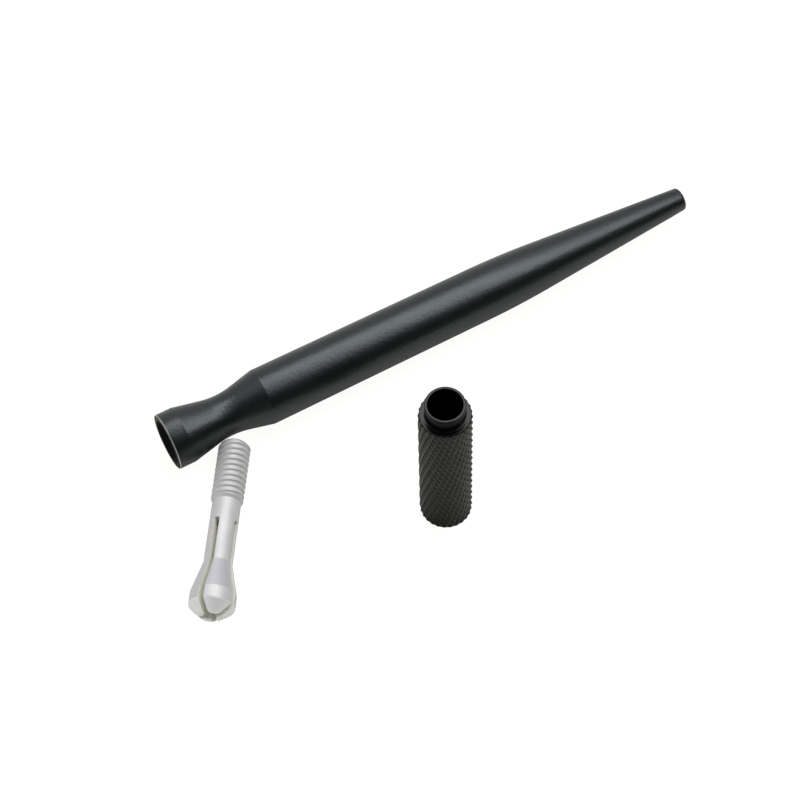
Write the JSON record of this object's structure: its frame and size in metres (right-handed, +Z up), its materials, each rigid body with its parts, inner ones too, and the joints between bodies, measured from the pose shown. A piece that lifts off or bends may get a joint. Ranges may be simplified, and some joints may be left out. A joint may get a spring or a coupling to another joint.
{
  "type": "lead holder",
  "caption": "Tapered barrel, knurled grip sleeve and threaded collet of a lead holder, taken apart; the collet's sprung jaws close on a lead.",
  "frame": {"origin": "middle of the layout's footprint, on the surface that the three pieces rest on", "axes": "+X along the barrel from its mouth to its tail, +Z up"},
  "size_m": [0.1234, 0.0448, 0.0376],
  "materials": {
    "barrel": "satin black anodised",
    "grip_sleeve": "black anodised, diamond knurled",
    "collet": "bright turned"
  },
  "bodies": {
    "barrel": {"barrel": "barrel"},
    "grip_sleeve": {"grip_sleeve": "grip_sleeve"},
    "collet_stem": {"collet_stem": "collet"},
    "collet_jaw_1": {"collet_jaw_1": "collet"},
    "collet_jaw_2": {"collet_jaw_2": "collet"},
    "collet_jaw_3": {"collet_jaw_3": "collet"},
    "collet_jaw_4": {"collet_jaw_4": "collet"}
  },
  "joints": [
    {"name": "sleeve_lift", "type": "slide", "parent": "barrel", "child": "grip_sleeve", "axis": [0, 0, 1], "range_m": [0, 0.06]},
    {"name": "collet_lift", "type": "slide", "parent": "barrel", "child": "collet_stem", "axis": [0, 0, 1], "range_m": [0, 0.06]},
    {"name": "jaw_1_flex", "type": "hinge", "parent": "collet_stem", "child": "collet_jaw_1", "pos_m": [-0.05003, -0.00152, 0.00444], "axis": [0.3186, -0.1685, 0.9328], "range_deg": [0, 1.4], "stiffness_Nm_per_rad": 0.01},
    {"name": "jaw_2_flex", "type": "hinge", "parent": "collet_stem", "child": "collet_jaw_2", "pos_m": [-0.04909, -0.00229, 0.00173], "axis": [-0.7668, 0.5328, 0.3581], "range_deg": [0, 1.4], "stiffness_Nm_per_rad": 0.01},
    {"name": "jaw_3_flex", "type": "hinge", "parent": "collet_stem", "child": "collet_jaw_3", "pos_m": [-0.04681, -0.00376, 0.00294], "axis": [-0.3186, 0.1685, -0.9328], "range_deg": [0, 1.4], "stiffness_Nm_per_rad": 0.01},
    {"name": "jaw_4_flex", "type": "hinge", "parent": "collet_stem", "child": "collet_jaw_4", "pos_m": [-0.04776, -0.003, 0.00565], "axis": [0.7668, -0.5328, -0.3581], "range_deg": [0, 1.4], "stiffness_Nm_per_rad": 0.01}
  ],
  "couplings": [
    {"joint": "jaw_2_flex", "follows": "jaw_1_flex", "ratio": 1},
    {"joint": "jaw_3_flex", "follows": "jaw_1_flex", "ratio": 1},
    {"joint": "jaw_4_flex", "follows": "jaw_1_flex", "ratio": 1}
  ]
}
